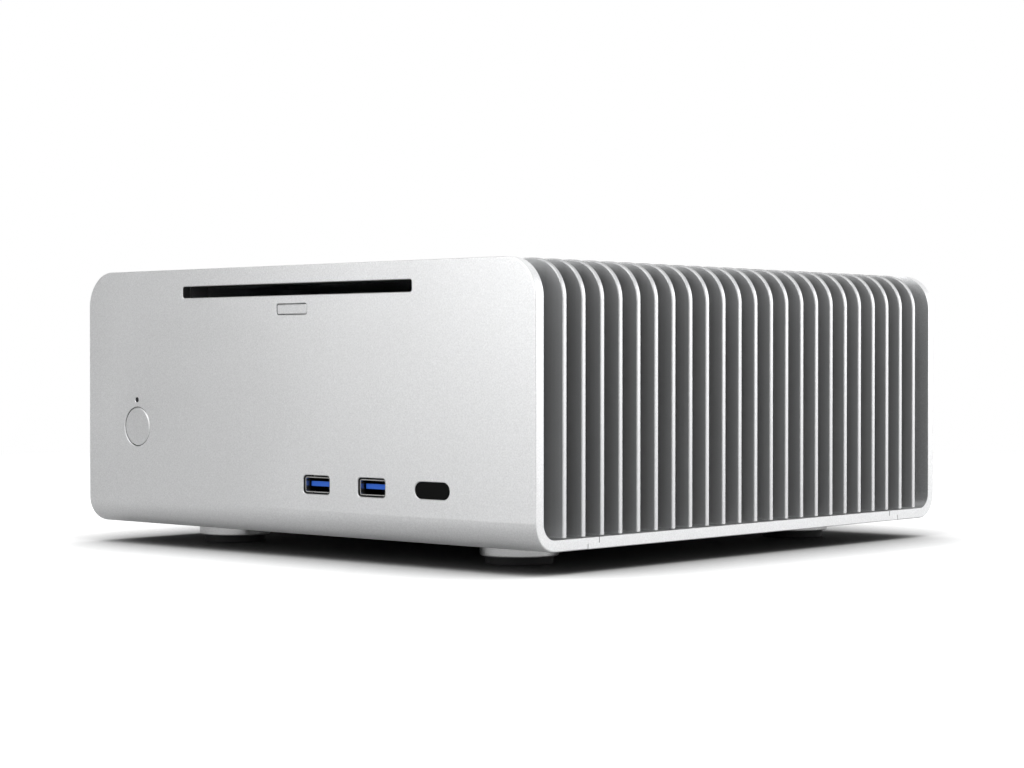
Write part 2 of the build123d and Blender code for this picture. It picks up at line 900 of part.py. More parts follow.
def storage_drive():
    y_low = y_drive + storage_from_front
    body = block(about(0, storage_w), (y_low, y_low + storage_d), (z_carrier - storage_h, z_carrier))
    body = fillet(body.edges().filter_by(Axis.Z), 2 * small_r)
    plug = block(about(-10, 36), (y_low + storage_d - 6, y_low + storage_d),
                 (z_carrier - storage_h, z_carrier - storage_h / 2))
    return body - plug - flat_screws_of(flat_screw_body, thread_gap)


# ---- Front ports ----

def port_board():
    x = (usb_xs[0] - port_board_left, ir_x + port_board_right)
    y = (-y_in + lens_rim_t + part_gap, -y_in + port_board_d)
    return block(x, y, (z_port_board - board_t, z_port_board)) - case_screw_holes()


def usb_shell(x):
    y = -y_out + usb_recess
    outer = RectangleRounded(usb_shell_w, usb_shell_h, small_r)
    inner = RectangleRounded(usb_shell_w - 2 * usb_shell_t, usb_shell_h - 2 * usb_shell_t,
                             small_r - usb_shell_t)
    shell = front_prism(outer, x, z_port, y, y + usb_shell_len)
    return shell - front_prism(inner, x, z_port, y - 1, y + usb_shell_len - usb_shell_t)


def usb_tongue(x):
    # Contact tongue with the insulator that fills the back of the shell
    y_back = -y_out + usb_recess + usb_shell_len - usb_shell_t
    y_front = -y_out + usb_recess + tongue_setback
    inner_w = usb_shell_w - 2 * usb_shell_t - 0.2
    inner_h = usb_shell_h - 2 * usb_shell_t - 0.2
    plug_r = small_r - usb_shell_t
    back = front_prism(RectangleRounded(inner_w, inner_h, plug_r), x, z_port, y_back - 3, y_back)
    tongue = block(about(x, tongue_w), (y_front, y_back), about(z_port + tongue_lift, tongue_t))
    return back + tongue


def ir_window():
    # Dark lens with a rim behind the panel
    y_front = -y_out + pipe_recess
    lens = SlotOverall(ir_w - 2 * slide_gap, ir_h - 2 * slide_gap)
    rim = SlotOverall(ir_w + 2 * lip, ir_h + 2 * lip)
    return (front_prism(lens, ir_x, z_port, y_front, -y_in)
            + front_prism(rim, ir_x, z_port, -y_in, -y_in + lens_rim_t))


def ir_receiver():
    y_back = -y_in + 3 * part_gap + 4
    body = block(about(ir_x, 6), (y_back - 2.5, y_back), (z_port_board, z_port + 3))
    dome = Pos(ir_x, y_back - 2.5, z_port) * Sphere(1.5)
    return body + dome


# ---- Main board ----

def board_holes(z_low, z_high):
    return [rod("Z", (z_low, z_high), spot, m3_r + thread_gap) for spot in block_screw_places()]


def block_screw_places():
    return [(cpu_x + x, cpu_y + y) for x, y in four_corners(block_screw_xy, block_screw_xy)]


def main_board():
    board = block(about(0, board_w), (y_board_front, y_board_rear), (z_board, z_board_top))
    return board - case_screw_holes() - board_holes(z_board, z_board_top)


def board_standoffs():
    standoffs = []
    for x, y in board_hole_places():
        hexagon = Pos(x, y, z_floor) * RegularPolygon(standoff_af / 2, 6, major_radius=False)
        post = extrude(hexagon, amount=standoff_h) - case_screw_holes()
        standoffs.append(post + rod("Z", (z_base + edge_break, z_floor), (x, y), m3_r))
    return group(standoffs)


def cpu_socket():
    z = (z_board_top, z_board_top + socket_h)
    socket = block(about(cpu_x, socket_w), about(cpu_y, socket_d), z)
    seat = package_w + 2 * groove_gap
    return socket - block(about(cpu_x, seat), about(cpu_y, seat), (z[1] - package_t, z[1]))


def processor():
    z = z_board_top + socket_h
    package = block(about(cpu_x, package_w), about(cpu_y, package_w), (z - package_t, z))
    lid = block(about(cpu_x, lid_w), about(cpu_y, lid_w), (z, z_lid))
    return package + chamfer(lid.faces().sort_by(Axis.Z)[-1].edges(), edge_break)


def pipe_ys():
    return [cpu_y + (i - 1.5) * pipe_spacing for i in range(4)]


def heat_block_part(z_low, z_high):
    plate = block(about(cpu_x, block_w), about(cpu_y, block_w), (z_low, z_high))
    for y in pipe_ys():
        plate -= rod("X", about(cpu_x, block_w), (y, z_pipe), pipe_r + slide_gap)
    return plate - board_holes(z_low, z_high)


def block_screws():
    top = z_pipe + block_half
    one = pan_screw(top - z_board)
    return group([place(one, (x, y, top), (0, 0, -1)) for x, y in block_screw_places()])


def bar_spans():
    # The lengths along the right wall where the heat pipes are clamped, front and rear
    reach = pipe_bend + pipe_r
    ys = pipe_ys()
    front = ys[0] - reach
    rear = ys[-1] + reach
    return [(front - bar_len, front), (rear, rear + bar_len)]


def heat_pipes():
    # Each pipe leaves the block, rises along the wall and turns along it under the bars
    spans = bar_spans()
    ends = (spans[0][0] - pipe_r, spans[1][1] + pipe_r)
    pipes = []
    for i, y in enumerate(pipe_ys()):
        inner = i in (1, 2)
        z_run = z_pipe + pipe_rises[1 if inner else 0]
        y_end = ends[0] if i < 2 else ends[1]
        path = FilletPolyline((cpu_x - block_w / 2 + pipe_r, y, z_pipe), (x_pipe, y, z_pipe),
                              (x_pipe, y, z_run), (x_pipe, y_end, z_run), radius=pipe_bend)
        start = Plane(origin=path @ 0, z_dir=path % 0)
        pipes.append(sweep(start * Circle(pipe_r), path=path))
    return group(pipes)


def pipe_bars():
    # Grooved bars on the right wall, in pairs that grip two pipes each
    z = (z_pipe + pipe_rises[0] - bar_margin, z_pipe + pipe_rises[1] + bar_margin)
    bars = []
    for span in bar_spans():
        for x in ((x_pipe, x_wall_in), (x_pipe - bar_t, x_pipe)):
            bar = block(x, span, z)
            for rise in pipe_rises:
                bar -= rod("Y", span, (x_pipe, z_pipe + rise), pipe_r + slide_gap)
            for spot in bar_screw_places():
                bar -= rod("X", x, (spot[1], spot[2]), m3_r + thread_gap)
            bars.append(bar)
    return group(bars)


def bar_screws():
    one = pan_screw(2 * bar_t + 4)
    return group([place(one, spot, (1, 0, 0)) for spot in bar_screw_places()])


def memory_slot(x):
    # Slot body with two cheeks at its front end that hold the latch's pins
    y = (y_memory, y_memory + memory_len)
    slot = block(about(x, memory_w), y, (z_board_top, z_board_top + memory_h))
    slot -= block(about(x, module_t + 2 * groove_gap), (y[0] + 3, y[1] - 3),
                  (z_board_top + module_lift, z_board_top + memory_h))
    for side in (-1, 1):
        middle = x + side * (memory_w - cheek_t) / 2
        cheek = block(about(middle, cheek_t), (y[0] - cheek_len, y[0]),
                      (z_board_top, z_board_top + cheek_h))
        slot += cheek - rod("X", about(middle, cheek_t), (y_pivot, z_pivot),
                            latch_pin_r + slide_gap)
    return slot


def memory_module(x):
    middle = y_memory + memory_len / 2
    z = z_board_top + module_lift + groove_gap
    module = block(about(x, module_t), about(middle, module_len), (z, z + module_h))
    notch = rod("X", about(x, module_t), (middle - module_len / 2, z + module_h / 2), 1.5)
    for i in range(chip_count):
        y = middle + (i - (chip_count - 1) / 2) * chip_pitch
        module += block((x, x + module_t / 2 + chip_t), about(y, chip_len),
                        (z + chip_rows[0], z + chip_rows[1]))
    return module - notch


def memory_latch(x):
    z_low = z_pivot - latch_foot
    latch = block(about(x, latch_w), about(y_pivot, latch_d), (z_low, z_low + latch_h))
    latch = fillet(latch.edges().filter_by(Axis.X), 2 * edge_break)
    latch += rod("X", about(x, memory_w - 2 * groove_gap), (y_pivot, z_pivot), latch_pin_r)
    tab = block(about(x, latch_w), (y_pivot - latch_d, y_pivot),
                (z_low + latch_h - 2 * cheek_t, z_low + latch_h - cheek_t))
    return latch + tab


def chipset_heatsink():
    y = y_board_rear - chipset_back
    z = z_board_top
    sink = block(about(chipset_x, chipset_w), about(y, chipset_w), (z, z + chipset_h / 3))
    for i in range(chipset_fins):
        x = chipset_x + (i - (chipset_fins - 1) / 2) * (chipset_w - cheek_t) / (chipset_fins - 1)
        sink += block(about(x, cheek_t), about(y, chipset_w), (z, z + chipset_h))
    return sink


def board_capacitors():
    y = y_board_rear - capacitor_back
    cans = []
    for x in capacitor_xs:
        can = rod("Z", (z_board_top, z_board_top + capacitor_h), (x, y), capacitor_r)
        cans.append(fillet(can.edges().sort_by(Axis.Z)[-1], edge_break))
    return group(cans)


# ---- Rear connectors ----

def connector_sizes():
    # Centre x, width and height above the board of every rear connector
    return [(x, usb_stack_w, usb_stack_h) for x in usb_stack_xs] + [
        (video_x, video_w, usb_stack_h),
        (network_x, network_w, network_h),
        (audio_x, audio_w, audio_count * audio_pitch),
    ]


def usb_socket_spots():
    # Centres of the USB sockets at the back
    lift = (usb_stack_h - 2 * usb_in_h) / 3
    heights = [z_board_top + lift + usb_in_h / 2, z_board_top + 2 * lift + 1.5 * usb_in_h]
    return [(x, z) for x in usb_stack_xs + (network_x,) for z in heights]


def network_socket_z():
    return z_board_top + network_h - network_in_h / 2 - 2 * cheek_t


def socket_block(x, width, height, depth):
    return block(about(x, width), (y_ports - depth, y_ports), (z_board_top, z_board_top + height))


def socket_cut(x, z, width, height):
    return block(about(x, width), (y_ports - socket_depth, y_ports + 1), about(z, height))


def rear_port_shells():
    shells = [socket_block(x, width, height, socket_depth + 3)
              for x, width, height in connector_sizes()[:-1]]
    cuts = [socket_cut(x, z, usb_in_w, usb_in_h) for x, z in usb_socket_spots()]
    cuts += [socket_cut(video_x, z_board_top + up, width, video_in_h)
             for up, width in video_sockets]
    cuts.append(socket_cut(network_x, network_socket_z(), network_in_w, network_in_h))
    return group([shell - cuts for shell in shells])


def rear_tongues():
    tongues = []
    for x, z in usb_socket_spots():
        tongues.append(block(about(x, tongue_w), (y_ports - socket_depth, y_ports - tongue_setback),
                             about(z + tongue_lift, tongue_t)))
    for up, width in video_sockets:
        tongues.append(block(about(video_x, width - 2 * tongue_setback),
                             (y_ports - socket_depth, y_ports - tongue_setback),
                             about(z_board_top + up, video_tongue_t)))
    return group(tongues)


def rear_audio_ports():
    # One housing above another, each with its bore and a shallow ring around it
    jacks = []
    for i in range(audio_count):
        z_low = z_board_top + i * audio_pitch
        z = z_low + audio_pitch / 2
        jack = block(about(audio_x, audio_w), (y_ports - socket_depth, y_ports),
                     (z_low, z_low + audio_pitch))
        jack -= rod("Y", (y_ports - socket_depth + part_gap, y_ports), (audio_x, z), audio_r)
        jack -= rod("Y", (y_ports - audio_rim_depth, y_ports), (audio_x, z), 2 * audio_r)
        jacks.append(jack)
    return group(jacks)


def io_shield():
    # Thin pressed tray in the rear panel's cut-out, open around each connector
    x = about(0, io_w - 2 * io_gap)
    z = (z_io + io_gap, z_io + io_h - io_gap)
    y_plate = y_in + io_rim
    shield = block(x, (y_in, y_plate + io_sheet), z)
    inner_x = (x[0] + io_sheet, x[1] - io_sheet)
    inner_z = (z[0] + io_sheet, z[1] - io_sheet)
    shield -= block(inner_x, (y_in, y_plate), inner_z)
    for x_mid, width, height in connector_sizes():
        shield -= block(about(x_mid, width + 2 * port_clear), (y_in, y_out),
                        (z_board_top - port_clear, z_board_top + height + port_clear))
    return shield


def dc_inlet():
    across = (dc_x, z_base + dc_up)
    y_face = y_out - dc_recess
    inlet = rod("Y", (y_face - dc_len, y_face), across, dc_r)
    inlet += rod("Y", (y_in - dc_collar_t, y_in), across, dc_collar_r)
    return inlet - rod("Y", (y_face - dc_bore_len, y_face), across, dc_bore_r)


def dc_pin():
    y_face = y_out - dc_recess
    return rod("Y", (y_face - dc_bore_len, y_face - dc_pin_setback), (dc_x, z_base + dc_up),
               dc_pin_r)


nodes = {
    "front_panel": front_panel(),
    "rear_panel": rear_panel(),
    "base_plate": base_plate(),
    "heatsink_left": heatsink_left(),
    "heatsink_right": heatsink_right(),
    "top_cover": top_cover(),
    "cover_studs": cover_studs(),
    "cover_clips": cover_clips(),
    "corner_brackets": corner_brackets(),
    "pan_screws": pan_screws(),
    "flat_screws": flat_screws(),
    "foot_rings": group([foot_ring(x, y) for x, y in foot_places()]),
    "foot_pads": group([foot_pad(x, y) for x, y in foot_places()]),
    "foot_screws": group([foot_screw(x, y) for x, y in foot_places()]),
    "power_button": power_button(),
    "power_board": power_board(),
    "power_switch": push_switch(power_x, z_power),
    "power_light_pipe": power_light_pipe(),
    "eject_button": eject_button(),
    "eject_board": eject_board(),
    "eject_switch": push_switch(0, z_eject),
    "board_posts": board_posts(),
    "disc_guide": disc_guide(),
    "drive_case": drive_case(),
    "drive_lid": drive_lid(),
    "drive_chassis": drive_chassis(),
    "drive_motor": drive_motor(),
    "drive_hub": drive_hub(),
    "drive_roller": drive_roller(),
    "drive_sled": drive_sled(),
    "drive_rails": drive_rails(),
    "drive_carrier": drive_carrier(),
    "storage_drive": storage_drive(),
    "port_board": port_board(),
    "usb_shells": group([usb_shell(x) for x in usb_xs]),
    "usb_tongues": group([usb_tongue(x) for x in usb_xs]),
    "ir_receiver": ir_receiver(),
    "ir_window": ir_window(),
    "main_board": main_board(),
    "board_standoffs": board_standoffs(),
    "cpu_socket": cpu_socket(),
    "processor": processor(),
    "heat_block": heat_block_part(z_lid, z_pipe),
    "heat_block_cap": heat_block_part(z_pipe, z_pipe + block_half),
    "block_screws": block_screws(),
    "heat_pipes": heat_pipes(),
    "pipe_bars": pipe_bars(),
    "bar_screws": bar_screws(),
    "memory_slots": group([memory_slot(x) for x in memory_xs]),
    "memory_modules": group([memory_module(x) for x in memory_xs]),
    "memory_latch_left": memory_latch(memory_xs[0]),
    "memory_latch_right": memory_latch(memory_xs[1]),
    "chipset_heatsink": chipset_heatsink(),
    "board_capacitors": board_capacitors(),
    "io_shield": io_shield(),
    "rear_port_shells": rear_port_shells(),
    "rear_tongues": rear_tongues(),
    "rear_audio_ports": rear_audio_ports(),
    "dc_inlet": dc_inlet(),
    "dc_pin": dc_pin(),
}

for name, shape in nodes.items():
    export_step(shape, f"parts/{name}.step")
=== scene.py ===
import bpy
import bmesh
from math import radians
from mathutils import Matrix, Vector


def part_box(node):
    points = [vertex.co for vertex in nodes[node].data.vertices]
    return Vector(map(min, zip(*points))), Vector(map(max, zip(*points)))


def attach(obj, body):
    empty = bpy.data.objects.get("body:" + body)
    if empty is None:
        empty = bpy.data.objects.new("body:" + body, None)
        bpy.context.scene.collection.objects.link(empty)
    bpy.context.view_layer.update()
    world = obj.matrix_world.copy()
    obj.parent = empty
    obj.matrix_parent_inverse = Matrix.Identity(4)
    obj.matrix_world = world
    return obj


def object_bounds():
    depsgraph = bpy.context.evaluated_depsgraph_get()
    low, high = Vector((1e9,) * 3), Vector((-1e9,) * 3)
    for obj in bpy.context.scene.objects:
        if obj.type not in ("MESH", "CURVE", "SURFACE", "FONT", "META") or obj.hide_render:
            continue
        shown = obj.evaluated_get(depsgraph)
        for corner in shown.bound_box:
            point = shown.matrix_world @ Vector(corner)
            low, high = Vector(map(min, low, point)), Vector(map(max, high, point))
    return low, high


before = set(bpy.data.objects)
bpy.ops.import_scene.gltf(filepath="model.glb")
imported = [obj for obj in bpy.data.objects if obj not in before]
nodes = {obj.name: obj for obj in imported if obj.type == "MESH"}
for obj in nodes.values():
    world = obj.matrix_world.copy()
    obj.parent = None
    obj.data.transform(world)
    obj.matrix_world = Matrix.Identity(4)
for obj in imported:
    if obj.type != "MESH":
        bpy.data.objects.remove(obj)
cadLow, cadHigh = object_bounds()
print("frame loaded,", len(nodes), "CAD nodes")


# A few short ways to make node trees

def addNode(tree, kind, spot, **settings):
    node = tree.nodes.new(kind)
    node.location = spot
    for key, value in settings.items():
        setattr(node, key, value)
    return node


def fill(node, **values):
    for key, value in values.items():
        node.inputs[key.replace("_", " ")].default_value = value
    return node


def newGroup(name, inputs, outputs):
    tree = bpy.data.node_groups.new(name, "ShaderNodeTree")
    for label, kind, value in inputs:
        socket = tree.interface.new_socket(name=label, in_out="INPUT", socket_type=kind)
        socket.default_value = value
    for label in outputs:
        tree.interface.new_socket(name=label, in_out="OUTPUT", socket_type="NodeSocketFloat")
    start = addNode(tree, "NodeGroupInput", (-900, 0))
    end = addNode(tree, "NodeGroupOutput", (600, 0))
    return tree, start, end


def feed(tree, socket, value):
    # A number is set on the socket, and another node's output is linked to it
    if isinstance(value, (int, float)):
        socket.default_value = value
    else:
        tree.links.new(value, socket)


def mathNode(tree, operation, spot, first, second=0.0):
    node = addNode(tree, "ShaderNodeMath", spot, operation=operation)
    feed(tree, node.inputs[0], first)
    feed(tree, node.inputs[1], second)
    return node.outputs[0]


def mapRange(tree, spot, value, low, high, newLow, newHigh):
    node = addNode(tree, "ShaderNodeMapRange", spot)
    bounds = {"From Min": low, "From Max": high, "To Min": newLow, "To Max": newHigh}
    for label, bound in bounds.items():
        feed(tree, node.inputs[label], bound)
    tree.links.new(value, node.inputs["Value"])
    return node.outputs["Result"]


# Shader node groups shared by the materials

def makeBlastGroup():
    # Fine pits and sparkle of bead-blasted metal or moulded grain
    tree, start, end = newGroup("blastGrain", [
        ("Scale", "NodeSocketFloat", 2200.0), ("Contrast", "NodeSocketFloat", 0.1)],
        ["Tone", "Height"])
    coords = addNode(tree, "ShaderNodeTexCoord", (-900, 250))
    noise = addNode(tree, "ShaderNodeTexNoise", (-600, 250))
    fill(noise, Detail=3.0, Roughness=0.7)
    pits = addNode(tree, "ShaderNodeTexVoronoi", (-600, -100), feature="SMOOTH_F1")
    pits.inputs["Smoothness"].default_value = 0.6
    for texture in (noise, pits):
        tree.links.new(coords.outputs["Object"], texture.inputs["Vector"])
        tree.links.new(start.outputs["Scale"], texture.inputs["Scale"])
    mixed = mathNode(tree, "ADD", (-300, 100), noise.outputs["Fac"],
                     mathNode(tree, "MULTIPLY", (-400, -100), pits.outputs["Distance"], 0.5))
    centred = mathNode(tree, "SUBTRACT", (-150, 100), mixed, 0.72)
    tone = mathNode(tree, "MULTIPLY_ADD", (50, 150), centred, start.outputs["Contrast"])
    tone.node.inputs[2].default_value = 1.0
    tree.links.new(tone, end.inputs["Tone"])
    tree.links.new(mixed, end.inputs["Height"])
    return tree


def makeStreakGroup():
    # Long faint lines left by drawing, extruding or brushing
    tree, start, end = newGroup("drawnStreaks", [
        ("Scale", "NodeSocketFloat", 900.0), ("Stretch", "NodeSocketVector", (1.0, 1.0, 0.02)),
        ("Contrast", "NodeSocketFloat", 0.1)], ["Tone", "Height"])
    coords = addNode(tree, "ShaderNodeTexCoord", (-900, 250))
    stretch = addNode(tree, "ShaderNodeVectorMath", (-700, 200), operation="MULTIPLY")
    noise = addNode(tree, "ShaderNodeTexNoise", (-500, 200))
    fill(noise, Detail=2.0, Roughness=0.55)
    tree.links.new(coords.outputs["Object"], stretch.inputs[0])
    tree.links.new(start.outputs["Stretch"], stretch.inputs[1])
    tree.links.new(stretch.outputs[0], noise.inputs["Vector"])
    tree.links.new(start.outputs["Scale"], noise.inputs["Scale"])
    centred = mathNode(tree, "SUBTRACT", (-250, 100), noise.outputs["Fac"], 0.5)
    tone = mathNode(tree, "MULTIPLY_ADD", (0, 100), centred, start.outputs["Contrast"])
    tone.node.inputs[2].default_value = 1.0
    tree.links.new(tone, end.inputs["Tone"])
    tree.links.new(noise.outputs["Fac"], end.inputs["Height"])
    return tree


def makeEdgeGroup():
    # Mask that is 1 on sharp outer edges, where handling polishes the finish; the lighter colour
    # it brings there is also a painted highlight
    tree, start, end = newGroup("wearAndHighlightEdges", [
        ("Radius", "NodeSocketFloat", 0.0005), ("Breakup", "NodeSocketFloat", 400.0)], ["Mask"])
    bevel = addNode(tree, "ShaderNodeBevel", (-600, 200), samples=4)
    geometry = addNode(tree, "ShaderNodeNewGeometry", (-600, -50))
    dot = addNode(tree, "ShaderNodeVectorMath", (-400, 100), operation="DOT_PRODUCT")
    noise = addNode(tree, "ShaderNodeTexNoise", (-600, -300))
    coords = addNode(tree, "ShaderNodeTexCoord", (-900, -300))
    tree.links.new(start.outputs["Radius"], bevel.inputs["Radius"])
    tree.links.new(bevel.outputs["Normal"], dot.inputs[0])
    tree.links.new(geometry.outputs["Normal"], dot.inputs[1])
    tree.links.new(coords.outputs["Object"], noise.inputs["Vector"])
    tree.links.new(start.outputs["Breakup"], noise.inputs["Scale"])
    sharp = mapRange(tree, (-200, 100), dot.outputs["Value"], 0.995, 0.80, 0.0, 1.0)
    patchy = mapRange(tree, (-200, -200), noise.outputs["Fac"], 0.35, 0.65, 0.35, 1.0)
    tree.links.new(mathNode(tree, "MULTIPLY", (100, 0), sharp, patchy), end.inputs["Mask"])
    return tree


def makeCloudGroup():
    # Slow change over the surface, such as uneven anodising and faint handling marks
    tree, start, end = newGroup("slowCloud", [
        ("Scale", "NodeSocketFloat", 18.0), ("Low", "NodeSocketFloat", 0.9),
        ("High", "NodeSocketFloat", 1.1)], ["Value"])
    coords = addNode(tree, "ShaderNodeTexCoord", (-900, 200))
    noise = addNode(tree, "ShaderNodeTexNoise", (-600, 200))
    fill(noise, Detail=4.0, Roughness=0.6, Distortion=0.4)
    tree.links.new(coords.outputs["Object"], noise.inputs["Vector"])
    tree.links.new(start.outputs["Scale"], noise.inputs["Scale"])
    value = mapRange(tree, (-200, 200), noise.outputs["Fac"], 0.3, 0.7,
                     start.outputs["Low"], start.outputs["High"])
    tree.links.new(value, end.inputs["Value"])
    return tree


def makeTrackGroup():
    # Copper tracks and pads that show through a circuit board's solder mask
    tree, start, end = newGroup("boardTracks", [("Scale", "NodeSocketFloat", 160.0)],
                                ["Tracks", "Pads"])
    coords = addNode(tree, "ShaderNodeTexCoord", (-900, 200))
    cells = addNode(tree, "ShaderNodeTexVoronoi", (-600, 250), feature="F1", distance="CHEBYCHEV")
    dots = addNode(tree, "ShaderNodeTexVoronoi", (-600, -100), feature="F1", distance="EUCLIDEAN")
    for texture in (cells, dots):
        tree.links.new(coords.outputs["Object"], texture.inputs["Vector"])
        tree.links.new(start.outputs["Scale"], texture.inputs["Scale"])
    rings = mathNode(tree, "FRACT", (-300, 250),
                     mathNode(tree, "MULTIPLY", (-450, 250), cells.outputs["Distance"], 5.0))
    tree.links.new(mapRange(tree, (0, 250), rings, 0.45, 0.55, 0.0, 1.0), end.inputs["Tracks"])
    tree.links.new(mapRange(tree, (0, -100), dots.outputs["Distance"], 0.16, 0.12, 0.0, 1.0),
                   end.inputs["Pads"])
    return tree


# Limits of the painted shade on the cut walls of the panel openings
openings = {"wall": 0.0038, "wallFade": 0.0002, "lipStart": 0.0005, "lipEnd": 0.0003,
            "sideStart": 0.019, "sideEnd": 0.018, "bendLow": 0.0185, "bendHigh": 0.0195,
            "topStart": 0.005, "topEnd": 0.0045}


def makeOpeningGroup():
    # Painted shade: a darker tone on the cut walls inside the openings of the front and rear
    # panels
    tree, start, end = newGroup("openingShade", [("Amount", "NodeSocketFloat", 0.88)], ["Tone"])
    coords = addNode(tree, "ShaderNodeTexCoord", (-1100, 0))
    size = addNode(tree, "ShaderNodeVectorMath", (-900, 150), operation="ABSOLUTE")
    spread = addNode(tree, "ShaderNodeSeparateXYZ", (-700, 150))
    tree.links.new(coords.outputs["Object"], size.inputs[0])
    tree.links.new(size.outputs[0], spread.inputs[0])
    face, side, top = cadHigh.y, cadHigh.x, cadHigh.z
    inner = face - openings["wall"]
    limits = [("Y", inner - openings["wallFade"], inner, 0.0, 1.0),
              ("Y", face - openings["lipStart"], face - openings["lipEnd"], 1.0, 0.0),
              ("X", side - openings["sideStart"], side - openings["sideEnd"], 1.0, 0.0),
              ("Z", openings["bendLow"], openings["bendHigh"], 0.0, 1.0),
              ("Z", top - openings["topStart"], top - openings["topEnd"], 1.0, 0.0)]
    inside = start.outputs["Amount"]
    for index, (axis, low, high, newLow, newHigh) in enumerate(limits):
        step = mapRange(tree, (-450, 300 - 200 * index), spread.outputs[axis], low, high,
                        newLow, newHigh)
        inside = mathNode(tree, "MULTIPLY", (-200 + 100 * index, 0), inside, step)
    tree.links.new(mathNode(tree, "SUBTRACT", (400, 0), 1.0, inside), end.inputs["Tone"])
    return tree


def makeDepthGroup():
    # Painted shade: a tone that changes with the distance from the middle of the object along one
    # axis
    tree, start, end = newGroup("depthTone", [
        ("Axis", "NodeSocketVector", (0.0, 1.0, 0.0)),
        ("Deep", "NodeSocketFloat", 0.1205), ("Shallow", "NodeSocketFloat", 0.1218),
        ("Low", "NodeSocketFloat", 0.04), ("High", "NodeSocketFloat", 1.0)], ["Tone"])
    coords = addNode(tree, "ShaderNodeTexCoord", (-900, 0))
    along = addNode(tree, "ShaderNodeVectorMath", (-700, 0), operation="DOT_PRODUCT")
    tree.links.new(coords.outputs["Object"], along.inputs[0])
    tree.links.new(start.outputs["Axis"], along.inputs[1])
    away = mathNode(tree, "ABSOLUTE", (-500, 0), along.outputs["Value"])
    tone = mapRange(tree, (-200, 0), away, start.outputs["Deep"], start.outputs["Shallow"],
                    start.outputs["Low"], start.outputs["High"])
    tree.links.new(tone, end.inputs["Tone"])
    return tree


blastGrain = makeBlastGroup()
drawnStreaks = makeStreakGroup()
wearAndHighlightEdges = makeEdgeGroup()
slowCloud = makeCloudGroup()
boardTracks = makeTrackGroup()
openingShade = makeOpeningGroup()
depthTone = makeDepthGroup()
print("shader groups made")


# Materials

def startMaterial(name):
    material = bpy.data.materials.new(name)
    material.use_nodes = True
    tree = material.node_tree
    shader = tree.nodes["Principled BSDF"]
    shader.location = (500, 0)
    return material, tree, shader


def useGroup(tree, group, spot, **values):
    node = addNode(tree, "ShaderNodeGroup", spot, node_tree=group)
    return fill(node, **values)


def scaleColour(tree, spot, colour, factor):
    # colour times a changing factor
    node = addNode(tree, "ShaderNodeVectorMath", spot, operation="SCALE")
    if isinstance(colour, tuple):
        node.inputs[0].default_value = colour
    else:
        tree.links.new(colour, node.inputs[0])
    tree.links.new(factor, node.inputs["Scale"])
    return node.outputs[0]


def mixColour(tree, spot, factor, first, second):
    node = addNode(tree, "ShaderNodeMix", spot, data_type="RGBA")
    tree.links.new(factor, node.inputs[0])
    for socket, colour in ((node.inputs[6], first), (node.inputs[7], second)):
        if isinstance(colour, tuple):
            socket.default_value = (*colour, 1.0)
        else:
            tree.links.new(colour, socket)
    return node.outputs[2]


def addBump(tree, shader, height, strength, distance):
    bump = addNode(tree, "ShaderNodeBump", (250, -350))
    bump.inputs["Strength"].default_value = strength
    bump.inputs["Distance"].default_value = distance
    tree.links.new(height, bump.inputs["Height"])
    tree.links.new(bump.outputs["Normal"], shader.inputs["Normal"])


def shadeTone(tree, tone, look):
    # Painted shade: darken the walls of openings or the depth of sockets and fins, where a look
    # asks for it
    if "openings" in look:
        shade = useGroup(tree, openingShade, (-700, 500), Amount=look["openings"])
        tone = mathNode(tree, "MULTIPLY", (-350, 400), tone, shade.outputs["Tone"])
    if "depth" in look:
        axis, deep, shallow, low, high = look["depth"]
        shade = useGroup(tree, depthTone, (-700, 500), Axis=axis, Deep=deep, Shallow=shallow,
                         Low=low, High=high)
        tone = mathNode(tree, "MULTIPLY", (-350, 400), tone, shade.outputs["Tone"])
    return tone


def metalMaterial(name, look):
    # Grain, streaks, clouded roughness and brighter edges (partly worn, partly painted highlight)
    # over one metal
    material, tree, shader = startMaterial(name)
    shader.inputs["Metallic"].default_value = look["metallic"]
    grain = useGroup(tree, blastGrain, (-700, 200), Scale=look["grainScale"],
                     Contrast=look["grainContrast"])
    streaks = useGroup(tree, drawnStreaks, (-700, -50), Scale=look["streakScale"],
                       Stretch=look["streakStretch"], Contrast=look["streakContrast"])
    edgeMask = useGroup(tree, wearAndHighlightEdges, (-700, -300), Radius=look["edgeMaskRadius"],
                    Breakup=look["edgeMaskBreakup"])
    cloud = useGroup(tree, slowCloud, (-700, -500), Scale=look["cloudScale"],
                     Low=look["roughness"] - look["roughnessSpread"],
                     High=look["roughness"] + look["roughnessSpread"])
    tone = mathNode(tree, "MULTIPLY", (-450, 150), grain.outputs["Tone"],
                    streaks.outputs["Tone"])
    tone = shadeTone(tree, tone, look)
    body = scaleColour(tree, (-250, 200), look["colour"], tone)
    faded = mathNode(tree, "MULTIPLY", (-250, -100), edgeMask.outputs["Mask"], look["wearAndHighlightAmount"])
    tree.links.new(mixColour(tree, (0, 150), faded, body, look["wornAndHighlightColour"]),
                   shader.inputs["Base Color"])
    rough = mathNode(tree, "SUBTRACT", (0, -100), cloud.outputs["Value"],
                     mathNode(tree, "MULTIPLY", (-150, -200), faded, look["wearPolish"]))
    tree.links.new(rough, shader.inputs["Roughness"])
    height = mathNode(tree, "ADD", (0, -300), grain.outputs["Height"],
                      mathNode(tree, "MULTIPLY", (-250, -350), streaks.outputs["Height"],
                               look["streakDepth"]))
    addBump(tree, shader, height, look["bump"], look["bumpDepth"])
    return material


